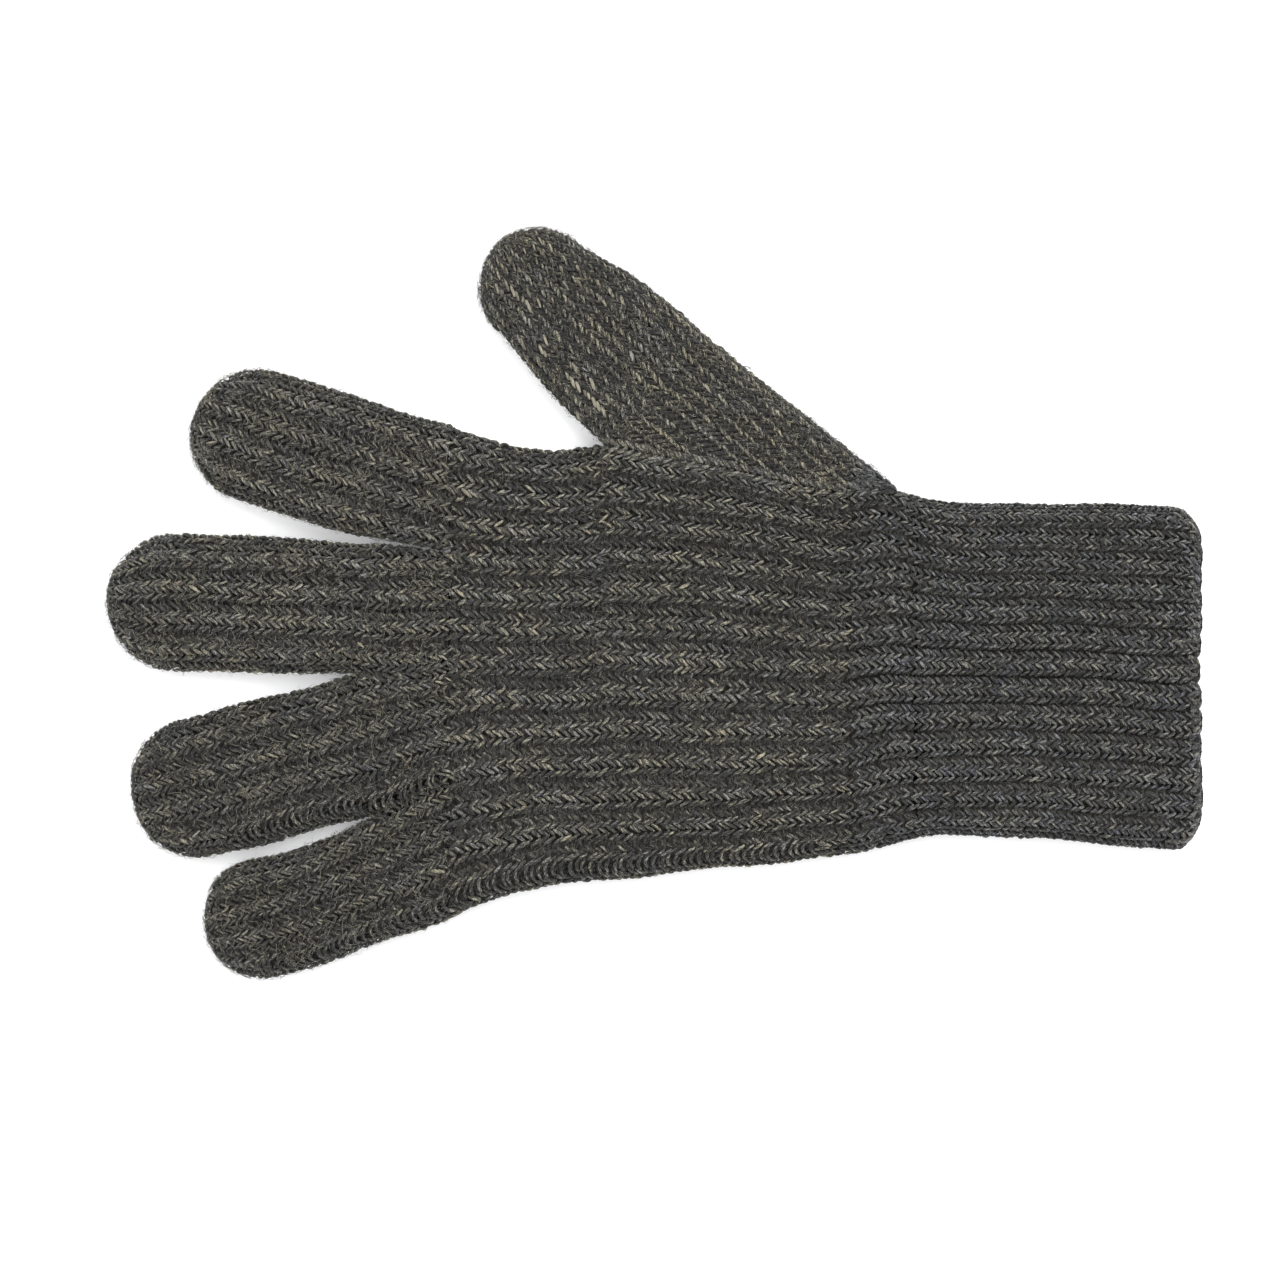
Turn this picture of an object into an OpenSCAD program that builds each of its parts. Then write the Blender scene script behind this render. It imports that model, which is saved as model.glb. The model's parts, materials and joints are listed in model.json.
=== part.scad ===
// Knitted wool glove, right hand, lying flat with the palm side up.
// +X runs from the fingers to the cuff, +Y to the thumb side, +Z up from the surface it lies on.
// Every section is a hollow tube of knitted fabric with a flat underside and rounded sides.

/* [Fabric] */
// Height of the glove as it lies flat
flat_h = 10.5; // [9.5:0.1:12]
// Thickness of one layer of knitted fabric
layer_t = 2.4; // [1.8:0.1:2.6]
// Gap left between two sections at a bend
bend_gap = 0.5; // [0.3:0.1:0.8]
// Radius of the woven-in yarn tails
tail_r = 0.8; // [0.5:0.1:0.9]

/* [Cuff] */
// X of the cuff's open edge
cuff_end_x = 135; // [120:1:150]
// X of the line where the ribbed cuff meets the hand
wrist_x = 48.6; // [48:0.1:50]
// Y of the cuff's side below the little finger
cuff_low_y = -59; // [-62:0.5:-56]
// Y of the cuff's side below the thumb
cuff_high_y = 24; // [22:0.5:26]
// Width of the doubled cast-on edge
edge_w = 3; // [2:0.5:5]

/* [Hand] */
// X of the line across which the four fingers begin
knuckle_x = -50; // [-51:0.5:-49]
// X of the crotch between the thumb and the hand
thumb_crotch_x = -12; // [-13:0.5:-11]

/* [Fingers] */
// X of the line across which the fingers bend in the middle
middle_bend_x = -75; // [-77:0.5:-73]
// X of the index finger's bend near its tip
index_bend_x = -92; // [-94:0.5:-90]
// X of the middle finger's bend near its tip
middle_tip_bend_x = -104; // [-106:0.5:-100]
// X of the ring finger's bend near its tip
ring_bend_x = -99; // [-101:0.5:-97]
// X of the little finger's bend near its tip
little_bend_x = -91; // [-92:0.5:-89]
// Radius in plan of the index fingertip
index_tip_r = 16.1; // [15:0.1:16.5]
// Radius in plan of the middle fingertip
middle_tip_r = 16.7; // [15:0.1:17]
// Radius in plan of the ring fingertip
ring_tip_r = 17; // [15:0.1:17]
// Radius in plan of the little fingertip
little_tip_r = 15; // [14:0.1:15]

/* [Thumb] */
// Distance from the thumb's root to the bend near its tip
thumb_bend_l = 22; // [20:0.5:25]
// Radius in plan of the thumb tip
thumb_tip_r = 14.6; // [14:0.1:15]

/* [Hidden] */

hand_colour = "#4a4843";
finger_colour = "#504d47";
thumb_colour = "#524e46";
cuff_colour = "#3f3f3f";
yarn_colour = "#6a6459";

side_steps = 6;    // facets round one side of a section
tip_steps = 5;     // rings round a fingertip
closure_angle = 62; // where the gathered closure begins on a fingertip, from its centre line
post_w = 2.2;      // width of a crotch's bridging stitches
half_gap = bend_gap / 2;

// A fold line runs along the thumb gusset, from the crotch to the wrist.
fold_a = [-11.5, 38.4];
fold_d = [46, 27];
gusset_b = [13, 65.4];
gusset_c = [48, 37.3];
fold_slope = (fold_a[1] - fold_d[1]) / (fold_a[0] - fold_d[0]);
function fold_y(x) = fold_d[1] + fold_slope * (x - fold_d[0]);

// Sides of the hand as [x, y] points, from the wrist to the knuckles
hand_low = [[48.4, -62.5], [36, -64.4], [12, -67], [-12, -69.2], [-24, -69.4],
            [-36, -72], [-44, -75.3], [-50, -78.3]];
hand_high = [[-12, 37.6], [-24, 37.4], [-36, 38.6], [-44, 41], [-50, 42.8]];

// A finger: [low and high side at the root, at the middle bend, at the tip bend], tip bend x,
// tip circle centre, tip radius, direction of the tip in degrees from -X towards +Y,
// and the angle round the tip circle at which its sides begin to follow the circle
index_finger = [[[13, 42.8], [17.2, 51.8], [21.8, 56.4]],
                index_bend_x, [-97.9, 40.4], index_tip_r, 21, 15];
middle_finger = [[[-15.9, 11.3], [-17.2, 14.8], [-17.6, 16.4]],
                 middle_tip_bend_x, [-118.3, -0.5], middle_tip_r, 0, 0];
ring_finger = [[[-41.8, -17], [-53.2, -18.9], [-61.6, -25.4]],
               ring_bend_x, [-111.6, -45.5], ring_tip_r, -15, 0];
little_finger = [[[-78.3, -44.3], [-88, -57.3], [-92.3, -63.4]],
                 little_bend_x, [-95.7, -77.5], little_tip_r, -22, 25];

// Thumb: root line from the crotch to the outer side, then a station at the bend
thumb_dir_deg = 41.9;
thumb_dir = [-cos(thumb_dir_deg), sin(thumb_dir_deg)];
thumb_side = [sin(thumb_dir_deg), cos(thumb_dir_deg)];
thumb_root = (fold_a + gusset_b) / 2;
thumb_root_half = norm(gusset_b - fold_a) / 2;
thumb_bend_half = 17.4;
thumb_tip_centre = [-28.5, 77.5];

// ---- Geometry of one section ----

function unit(v) = v / norm(v);
function mix(a, b, t) = a * (1 - t) + b * t;

// Points round a section standing upright between plan points p and q, inset by t.
// lift raises the underside and lowers the top, for the rounding of a fingertip.
function rim(p, q, t = 0, lift = 0) =
    let (
        u = unit(q - p),
        half_l = norm(q - p) / 2 - t,
        half_h = flat_h / 2 - t - lift,
        r = min(half_l, half_h),
        c = (p + q) / 2
    )
    [for (side = [1, -1], i = [0 : side_steps])
        let (
            a = -90 + 180 * i / side_steps,
            s = side * (half_l - r + r * cos(a)),
            z = flat_h / 2 + side * half_h * sin(a)
        )
        [c[0] + u[0] * s, c[1] + u[1] * s, z]];

// A loop round an open channel: closed and rounded at p, cut off square at q
function channel(p, q, t = layer_t) =
    let (
        u = unit(q - p),
        h = flat_h / 2,
        ri = h - t,
        outer = [for (i = [0 : side_steps])
            let (a = 90 + 180 * i / side_steps) [p + u * (h + h * cos(a)), h + h * sin(a)]],
        inner = [for (i = [0 : side_steps])
            let (a = 270 - 180 * i / side_steps) [p + u * (h + ri * cos(a)), h + ri * sin(a)]],
        loop = concat([[q, 2 * h]], outer, [[q, 0], [q, t]], inner, [[q, 2 * h - t]])
    )
    [for (v = loop) [v[0][0], v[0][1], v[1]]];

function flat_list(l) = [for (a = l, b = a) b];

// Quads that join ring k to ring k + 1, each of n points, from point number start
function wall_faces(start, rings, n, turn) =
    [for (k = [0 : rings - 2], i = [0 : n - 1])
        let (
            a = start + k * n + i,
            b = start + k * n + (i + 1) % n
        )
        each turn ? [[a, a + n, b], [b, a + n, b + n]] : [[a, b, a + n], [b, b + n, a + n]]];

function ring_faces(a, b, n, turn) =
    [for (i = [0 : n - 1])
        let (j = (i + 1) % n)
        each turn ? [[a + i, a + j, b + i], [a + j, b + j, b + i]]
                  : [[a + i, b + i, a + j], [a + j, b + i, b + j]]];

// A hollow tube through outer and inner rings, open at both ends
module tube(outer, inner) {
    n = len(outer[0]);
    no = len(outer);
    ni = len(inner);
    base = no * n;
    polyhedron(
        points = concat(flat_list(outer), flat_list(inner)),
        faces = concat(
            wall_faces(0, no, n, false),
            wall_faces(base, ni, n, true),
            ring_faces(0, base, n, false),
            ring_faces(base - n, base + (ni - 1) * n, n, true)
        ),
        convexity = 6
    );
}

// Triangles across the loop of n points that begins at point number start
function cap_faces(start, n, turn) =
    [for (i = [0 : n / 2 - 2])
        let (a = start + i, b = start + n - 1 - i)
        each turn ? [[a, b, a + 1], [a + 1, b, b - 1]] : [[a, a + 1, b], [a + 1, b - 1, b]]];

// A closed solid through loops of equal, even length, each turning anticlockwise seen from the next.
// The end caps join point i of a loop to point n - 1 - i, which lies across the fabric from it.
module loft(loops) {
    n = len(loops[0]);
    last = (len(loops) - 1) * n;
    polyhedron(
        points = flat_list(loops),
        faces = concat(
            cap_faces(0, n, false), wall_faces(0, len(loops), n, true), cap_faces(last, n, true)
        ),
        convexity = 6
    );
}

// A tube whose stations are pairs of plan points
module section(stations) {
    tube([for (s = stations) rim(s[0], s[1])], [for (s = stations) rim(s[0], s[1], layer_t)]);
}

// A straight yarn tail with round ends, lying inside the lower layer
module tail(p, q) {
    z = layer_t + tail_r + 0.1;
    l = norm(q - p);
    a = atan2(q[1] - p[1], q[0] - p[0]);
    translate([p[0], p[1], z]) rotate([0, 90, a]) cylinder(r = tail_r, h = l, $fn = 24);
}

// ---- Stations of the fingers ----

function line_at(x, low, high) = [[x, low], [x, high]];

function at_x(f, k, x) = line_at(x, f[0][k][0], f[0][k][1]);

// Station between stations k and k + 1, at x, which moves its sides along with it
function between(f, k, xa, xb, x) =
    let (t = (x - xa) / (xb - xa))
    line_at(x, mix(f[0][k][0], f[0][k + 1][0], t), mix(f[0][k][1], f[0][k + 1][1], t));

function dir_of(deg) = [-cos(deg), sin(deg)];
function side_of(deg) = [sin(deg), cos(deg)];

// Station on a tip circle at an angle from its centre line, 0 at the circle's widest
function tip_station(c, r, deg, a) =
    let (
        m = c + dir_of(deg) * r * sin(a),
        h = side_of(deg) * r * cos(a)
    )
    [m - h, m + h];

function tip_lift(a, t = 0) = (flat_h / 2 - t) * (1 - pow(cos(a), 0.55));

module finger_base(f) {
    section([
        between(f, 0, knuckle_x, middle_bend_x, knuckle_x - half_gap),
        between(f, 0, knuckle_x, middle_bend_x, (knuckle_x + middle_bend_x) / 2),
        between(f, 0, knuckle_x, middle_bend_x, middle_bend_x + half_gap)
    ]);
}

module finger_middle(f) {
    section([
        between(f, 1, middle_bend_x, f[1], middle_bend_x - half_gap),
        between(f, 1, middle_bend_x, f[1], f[1] + half_gap)
    ]);
}

// Rings of a tip: the root station, then round the tip circle from angle a0 to the closure
function tip_rings(root, c, r, deg, a0, t) =
    concat(
        [rim(root[0], root[1], t)],
        [for (i = [0 : tip_steps])
            let (
                a = mix(a0, closure_angle, i / tip_steps),
                s = tip_station(c, r, deg, a)
            )
            rim(s[0], s[1], t, tip_lift(a, t))]
    );

module finger_tip(f) {
    root = at_x(f, 2, f[1] - half_gap);
    tube(tip_rings(root, f[2], f[3], f[4], f[5], 0), tip_rings(root, f[2], f[3], f[4], f[5], layer_t));
}

// The last stitches, drawn together on the yarn's end
module closure(c, r, deg) {
    loft([for (a = [84, 77, 70, closure_angle + 0.3])
        let (s = tip_station(c, r, deg, a)) rim(s[0], s[1], 0, tip_lift(a))]);
}

// A fingertip's yarn tail, woven in along one side
module finger_tail(c, r, deg, l) {
    p = c + dir_of(deg) * (r - 10.5) + side_of(deg) * (r - 8);
    tail(p, p - dir_of(deg) * l);
}

// ---- Hand ----

// The tube of the hand from the wrist to the thumb crotch, open towards the thumb gusset
module palm_section() {
    xs = [thumb_crotch_x, 12, 36, wrist_x - half_gap];
    color(hand_colour) loft([for (x = xs)
        channel([x, side_at(hand_low, x)], [x, fold_y(x) - bend_gap])]);
}

// The tube of the hand from the thumb crotch to the roots of the fingers
module knuckle_section() {
    xs = [thumb_crotch_x, -24, -36, -44, knuckle_x + half_gap];
    color(hand_colour) section([for (x = xs)
        line_at(x, side_at(hand_low, x), side_at(hand_high, x))]);
}

// Y of a side at x, between the points that describe it
function side_at(pts, x) = lookup(x, pts);

// Bridging stitches that join the two layers between two fingers
module crotch_post(x, y) {
    color(hand_colour) translate([x, y - post_w / 2, layer_t])
        cube([post_w, post_w, flat_h - 2 * layer_t]);
}

module thumb_crotch_stitches() crotch_post(thumb_crotch_x + 0.3, 34.5);
module index_middle_crotch_stitches() crotch_post(knuckle_x + 1, 12.2);
module middle_ring_crotch_stitches() crotch_post(knuckle_x + 1, -16.5);
module ring_little_crotch_stitches() crotch_post(knuckle_x + 1, -43);

// ---- Cuff ----

// The rib draws in from the wrist to the cuff's waist and opens a little to its edge.
cuff_low = [[48, -62.5], [54, -61], [61, -59.2], [70, cuff_low_y + 1.4], [81, cuff_low_y + 1.2],
            [104, cuff_low_y - 0.4], [127, cuff_low_y - 2.3], [150, cuff_low_y - 2.6]];
cuff_high = [[48, 36.9], [54, 31.6], [61, 27.2], [70, cuff_high_y + 0.4], [81, cuff_high_y - 0.2],
             [104, cuff_high_y], [127, cuff_high_y - 0.3], [150, cuff_high_y - 1.2]];

module cuff_rib() {
    xs = [cuff_end_x - edge_w, cuff_end_x - edge_w - 4, 104, 81, 70, 61, 54, wrist_x + half_gap];
    color(cuff_colour) section([for (x = xs) cuff_line(x)]);
}

function cuff_line(x, pull = 0) =
    line_at(x, side_at(cuff_low, x) + pull, side_at(cuff_high, x) - pull);

module cuff_cast_on_edge() {
    color(cuff_colour) section([
        cuff_line(cuff_end_x, 3),
        cuff_line(cuff_end_x - edge_w / 2, 0.8),
        cuff_line(cuff_end_x - edge_w)
    ]);
}

module cuff_yarn_tail() {
    y = side_at(cuff_low, 104) + 7;
    color(yarn_colour) tail([cuff_end_x - edge_w - 2, y], [cuff_end_x - edge_w - 30, y]);
}

// ---- Thumb ----

// The widening pouch between the hand and the thumb, open towards both
module thumb_gusset() {
    steps = 4;
    color(thumb_colour) loft([for (i = [0 : steps])
        let (t = i / steps)
        channel(mix(gusset_c, gusset_b, t), mix(fold_d, fold_a, t))]);
}

function thumb_station(l, half) =
    let (c = thumb_root + thumb_dir * l)
    [c - thumb_side * half, c + thumb_side * half];

module thumb_base() {
    color(thumb_colour) section([
        thumb_station(bend_gap, thumb_root_half),
        thumb_station(thumb_bend_l / 2, mix(thumb_root_half, thumb_bend_half, 0.7)),
        thumb_station(thumb_bend_l - half_gap, thumb_bend_half)
    ]);
}

module thumb_tip() {
    root = thumb_station(thumb_bend_l + half_gap, thumb_bend_half);
    color(thumb_colour) tube(
        tip_rings(root, thumb_tip_centre, thumb_tip_r, thumb_dir_deg, 0, 0),
        tip_rings(root, thumb_tip_centre, thumb_tip_r, thumb_dir_deg, 0, layer_t)
    );
}

module thumb_tip_closure() {
    color(yarn_colour) closure(thumb_tip_centre, thumb_tip_r, thumb_dir_deg);
}

module thumb_yarn_tail() {
    color(yarn_colour) finger_tail(thumb_tip_centre, thumb_tip_r, thumb_dir_deg, 15);
}

// ---- Fingers ----

module index_base() color(finger_colour) finger_base(index_finger);
module index_middle() color(finger_colour) finger_middle(index_finger);
module index_tip() color(finger_colour) finger_tip(index_finger);
module index_tip_closure()
    color(yarn_colour) closure(index_finger[2], index_finger[3], index_finger[4]);
module index_yarn_tail()
    color(yarn_colour) finger_tail(index_finger[2], index_finger[3], index_finger[4], 7);

module middle_base() color(finger_colour) finger_base(middle_finger);
module middle_middle() color(finger_colour) finger_middle(middle_finger);
module middle_tip() color(finger_colour) finger_tip(middle_finger);
module middle_tip_closure()
    color(yarn_colour) closure(middle_finger[2], middle_finger[3], middle_finger[4]);
module middle_yarn_tail()
    color(yarn_colour) finger_tail(middle_finger[2], middle_finger[3], middle_finger[4], 15);

module ring_base() color(finger_colour) finger_base(ring_finger);
module ring_middle() color(finger_colour) finger_middle(ring_finger);
module ring_tip() color(finger_colour) finger_tip(ring_finger);
module ring_tip_closure()
    color(yarn_colour) closure(ring_finger[2], ring_finger[3], ring_finger[4]);
module ring_yarn_tail()
    color(yarn_colour) finger_tail(ring_finger[2], ring_finger[3], ring_finger[4], 15);

module little_base() color(finger_colour) finger_base(little_finger);
module little_middle() color(finger_colour) finger_middle(little_finger);
module little_tip() color(finger_colour) finger_tip(little_finger);
module little_tip_closure()
    color(yarn_colour) closure(little_finger[2], little_finger[3], little_finger[4]);
module little_yarn_tail()
    color(yarn_colour) finger_tail(little_finger[2], little_finger[3], little_finger[4], 6);

palm_section();
knuckle_section();
thumb_crotch_stitches();
index_middle_crotch_stitches();
middle_ring_crotch_stitches();
ring_little_crotch_stitches();
cuff_rib();
cuff_cast_on_edge();
cuff_yarn_tail();
thumb_gusset();
thumb_base();
thumb_tip();
thumb_tip_closure();
thumb_yarn_tail();
index_base();
index_middle();
index_tip();
index_tip_closure();
index_yarn_tail();
middle_base();
middle_middle();
middle_tip();
middle_tip_closure();
middle_yarn_tail();
ring_base();
ring_middle();
ring_tip();
ring_tip_closure();
ring_yarn_tail();
little_base();
little_middle();
little_tip();
little_tip_closure();
little_yarn_tail();
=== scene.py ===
"""Looks of a knitted wool glove that lies flat, palm side up.

Every stitch is a piece of yarn. A surface function gives a point of a glove section from u, the
place along it, and t, the place round it: 0 to 1 over the palm side from the little-finger side
to the thumb side, and 1 to 2 back along the other side. Rows of yarn arms are laid on it, over a
lining. Lengths are millimetres, and only make_object turns them into metres.
"""

import math
from collections import namedtuple

import bpy
import numpy as np
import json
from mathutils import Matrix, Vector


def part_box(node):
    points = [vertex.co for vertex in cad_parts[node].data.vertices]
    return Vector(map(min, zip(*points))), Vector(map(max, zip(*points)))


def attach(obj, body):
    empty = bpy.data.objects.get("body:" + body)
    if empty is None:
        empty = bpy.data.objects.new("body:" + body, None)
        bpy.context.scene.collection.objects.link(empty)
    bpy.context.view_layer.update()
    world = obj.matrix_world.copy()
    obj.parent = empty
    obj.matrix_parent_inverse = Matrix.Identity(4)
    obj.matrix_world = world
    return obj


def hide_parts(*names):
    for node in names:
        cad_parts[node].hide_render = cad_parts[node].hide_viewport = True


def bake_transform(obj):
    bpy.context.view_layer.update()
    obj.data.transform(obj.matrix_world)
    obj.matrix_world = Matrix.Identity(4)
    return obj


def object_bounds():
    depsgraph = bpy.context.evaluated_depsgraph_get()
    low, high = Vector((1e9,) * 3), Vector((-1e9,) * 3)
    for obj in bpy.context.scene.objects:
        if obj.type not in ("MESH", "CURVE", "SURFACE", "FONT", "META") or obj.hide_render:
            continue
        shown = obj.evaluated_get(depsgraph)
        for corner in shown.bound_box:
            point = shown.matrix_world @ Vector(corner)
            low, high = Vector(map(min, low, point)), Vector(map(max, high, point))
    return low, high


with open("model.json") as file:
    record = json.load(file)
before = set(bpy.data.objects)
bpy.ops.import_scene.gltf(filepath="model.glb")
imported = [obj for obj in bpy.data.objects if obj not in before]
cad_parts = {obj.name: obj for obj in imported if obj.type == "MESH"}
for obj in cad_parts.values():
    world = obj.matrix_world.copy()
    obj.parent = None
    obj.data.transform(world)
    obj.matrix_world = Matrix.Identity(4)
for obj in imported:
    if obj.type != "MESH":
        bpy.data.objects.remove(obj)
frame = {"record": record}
cad_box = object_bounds()
joint_x = {j["name"]: j["pos_m"][0] * 1000 for j in frame["record"]["behaviour"]["joints"]}
rng = np.random.default_rng(11)

MM = 0.001

# Fabric
YARN_INSET = 0.3       # depth of the yarn's middle line below the glove's outer surface
LINING_OUT = 0.8       # depth of the lining's outer face
LINING_IN = 3.1        # depth of its inner face, the inside of the glove
MID_Z = 5.25           # half the height of the glove
SQUARE_R = 0.9         # corner radius where two sections lie side by side
ROUND_R = 5.2          # corner radius of a free side
THUMB_WALE = 2.95      # width of one column of stitches on the thumb
THUMB_YARN_R = 0.48
PURL_R = 0.45
BAR_R = 0.43
FIBRE_R = 0.034        # a loose fibre
TWIST = 1.3            # turn of the yarn's two plies, radians per millimetre
PLY_RELIEF_AND_SHADE = 0.13      # how far a ply stands out, as a share of the yarn's radius; also the painted highlight on a ply's crest and painted shade in the crevices between plies
CORNER = 7.0           # length over which the cuff's corners are rounded
CORNER_IN = 3.5        # how far the cuff's sides are drawn in at its end
EDGE_DROP = 3.5        # how far the cast-on edge is drawn back at the cuff's sides
EDGE_NOTCH = 1.3       # and between its ribs
EDGE_BEND_X = 108.0    # where the rows begin to curve to that edge
EDGE_X_BACK = 0.5      # the cast-on loops' place before the cuff's end
CROTCH_X = -12.0       # where the gusset ends and the knuckle section begins
BODY_RIBS = 14         # ribs on one face of the hand and cuff
FINGER_RIBS = 5        # ribs on one face of a finger
FURROW = 0.5           # the first furrow's place round a section, in ribs

# A kind of ribbing: course is the length of one row. width is one column's share of the rib's pitch,
# depth is the furrow's, radius the yarn's, and reach is an arm's length in rows. flatness runs from 0
# for a wave to 1 for flat ribs with narrow furrows.
Rib = namedtuple("Rib", "course pitch width depth radius reach flatness")
HAND_RIB = Rib(1.86, 8.3, 0.42, 1.8, 0.49, 1.26, 0.62)
CUFF_RIB = Rib(1.7, 6.2, 0.435, 1.8, 0.41, 1.12, 0.9)

# Hand and cuff, as (x, y): the little-finger side, and the thumb side without the gusset
KNUCKLE_X = joint_x["index_root_bend"]
WRIST_X = joint_x["wrist_bend"]
CUFF_END = cad_box[1][0] * 1000
LOW_SIDE = [(-56, -81), (-50, -78.3), (-44, -75.3), (-36, -72), (-24, -69.6), (-12, -69), (12, -66.6),
            (36, -64.2), (48, -62.6), (61, -59.2), (70, -57.6), (81, -57.8), (104, -59.4), (127, -61.3),
            (140, -61.4)]
# Corners of the gusset's inner side in the CAD, from the thumb's crotch to the wrist
FOLD_A = (-11.5, 38.4)
FOLD_D = (46, 27)
FOLD_E = (61, 26.8)
HIGH_SIDE = [(-56, 44.5), (-50, 42.8), (-44, 41), (-36, 38.6), (-24, 37.4), FOLD_A, FOLD_D, (57, 28.2),
             (63, 26.9), (70, 25), (81, 23.8), (104, 24), (127, 23.7), (140, 23)]

# Thumb: the direction it points in, the middle of its root, the centre and radius of its tip circle,
# and half its width as (u, half)
THUMB_DEG = 41.9
THUMB_ROOT = np.array([0.75, 51.9])
THUMB_TIP_U = 38.9
THUMB_TIP_R = 14.6
THUMB_HALF = [(0, 18.3), (11, 18.4), (22, 17.8), (THUMB_TIP_U, THUMB_TIP_R)]


def direction(deg):
    """Unit vector towards the fingertips, turned by deg to the thumb side."""
    return np.array([-math.cos(math.radians(deg)), math.sin(math.radians(deg))])


def sideways(deg):
    """Unit vector at right angles to it, to the thumb side."""
    return np.array([math.sin(math.radians(deg)), math.cos(math.radians(deg))])


# ---- Surfaces ----


def curve(x, points, soft=4.0):
    """The line through points, with its corners rounded over soft on both sides."""
    xs, ys = zip(*points)
    return sum(np.interp(x + o, xs, ys) for o in np.linspace(-soft, soft, 5)) / 5


def ramp(x, start, end):
    """0 up to start, 1 from end on, and smooth between them."""
    s = np.clip((x - start) / (end - start), 0, 1)
    return s * s * (3 - 2 * s)


def half_round(lo, hi, b, r_lo, r_hi):
    """Length over one face of a section, from side to side."""
    return (2 * b - r_lo - r_hi) + (r_lo + r_hi) * math.pi / 2 + (hi - lo - r_lo - r_hi)


def section(t, lo, hi, b, r_lo, r_hi):
    """Sideways place and height of t on a rounded-rectangle section from lo to hi, b high each way."""
    s = np.where(t <= 1, t, 2 - t) * half_round(lo, hi, b, r_lo, r_hi)
    side = np.where(t <= 1, 1.0, -1.0)
    wall = np.minimum(s, b - r_lo)
    s = s - wall
    a_lo = np.minimum(s, r_lo * math.pi / 2) / r_lo
    s = s - a_lo * r_lo
    flat = np.minimum(s, hi - lo - r_lo - r_hi)
    s = s - flat
    a_hi = np.minimum(s, r_hi * math.pi / 2) / r_hi
    s = s - a_hi * r_hi
    q = lo + r_lo * (1 - np.cos(a_lo)) + flat + r_hi * np.sin(a_hi)
    z = wall + r_lo * np.sin(a_lo) - r_hi * (1 - np.cos(a_hi)) - s
    return q, z * side


def settle(p):
    """Small soft dents and drifts, because no cloth lies quite straight or flat."""
    x, y, z = p[..., 0], p[..., 1], p[..., 2]
    dx = 0.2 * np.sin(0.13 * y + 0.9) + 0.2 * np.sin(0.29 * y + 0.07 * x)
    dy = 0.2 * np.sin(0.075 * x + 0.5 * np.sin(0.05 * y) + 0.4) + 0.2 * np.sin(0.21 * x + 0.11 * y)
    dz = (0.4 * np.sin(0.09 * x + 0.12 * y) + 0.3 * np.sin(0.06 * x - 0.19 * y + 2)) * z / (2 * MID_Z)
    out = p + np.stack([dx, dy, dz], -1)
    out[..., 2] = np.maximum(out[..., 2], 0.05)
    return out


def body_sides(x):
    """The y of both sides, and the thumb side's corner radius, small where the gusset lies beside it."""
    lo, hi = curve(x, LOW_SIDE), curve(x, HIGH_SIDE, 3)
    end = np.clip((x - CUFF_END + CORNER) / CORNER, 0, 1)
    drawn_in = CORNER_IN * (1 - np.sqrt(1 - end * end))
    free = 1 - ramp(x, -15, -11) * (1 - ramp(x, 58, 68))
    return lo + drawn_in, hi - drawn_in, SQUARE_R + (ROUND_R - SQUARE_R) * free


# How far the ribs of hand and cuff lie from even spacing, in ribs, as (x, amount)
RIB_SHIFT = [(-50, 0.3), (-13, 0.14), (45, 0.12), (90, 0.3)]
RIB_SPREAD = [(-50, 0.0), (-13, 0.1), (16, 0.28), (45, 0.2), (90, 0.1)]


def rib_place(u, t):
    """t moved so that the ribs are spaced as in the photograph."""
    shift, spread = (np.interp(u, *zip(*points)) for points in (RIB_SHIFT, RIB_SPREAD))
    return t + (shift * np.sin(math.pi * t) - spread * np.sin(2 * math.pi * t)) / BODY_RIBS


def body(u, t, inset=0.0):
    """Hand and cuff; u is x."""
    t = rib_place(u, t)
    lo, hi, r_hi = body_sides(u)
    b = MID_Z - inset
    q, z = section(t, lo + inset, hi - inset, b, np.minimum(ROUND_R, b), np.minimum(r_hi, b))
    return np.stack([u + 0 * q, q, MID_Z + z], -1)


def cuff(u, t, inset=0.0):
    """The body's surface, with rows that curve to the scalloped, round-cornered edge of the cuff."""
    bend = np.full_like(t, EDGE_BEND_X)
    lo, hi, _ = body_sides(bend)
    y = body(bend, t)[..., 1]
    corner = np.clip(1 - np.minimum(y - lo, hi - y) / CORNER, 0, 1)
    notch = np.abs(2 * ((t * BODY_RIBS - FURROW) % 1) - 1) ** 6
    back = EDGE_DROP * (1 - np.sqrt(1 - corner * corner)) + EDGE_NOTCH * notch
    share = np.clip((u - bend) / (CUFF_END - bend), 0, None)
    return body(u - share * share * back, t, inset)


def cap(u, v, z, half, r, b):
    """Round end of a finger or thumb: u past the tip circle's centre, v sideways from -1 to 1."""
    edge = r - b
    s = np.clip(u, 0, edge + b * math.pi / 2)
    xi = np.where(s < edge, s, edge + b * np.sin(np.clip(s - edge, 0, None) / b)) / r
    along = r * xi * np.sqrt(1 - v * v / 2)
    across = half * v * np.sqrt(1 - xi * xi / 2)
    rho = np.sqrt(np.clip(xi * xi + v * v - xi * xi * v * v, 0, 1))
    depth = np.clip((1 - rho) * r / b, 0, 1)
    high = b * np.sqrt(1 - (1 - depth) ** 2) * np.sign(z)
    return along, across, np.where(u > 0, high, z)


def cap_length(r, b=MID_Z):
    return r - b + b * math.pi / 2


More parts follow.
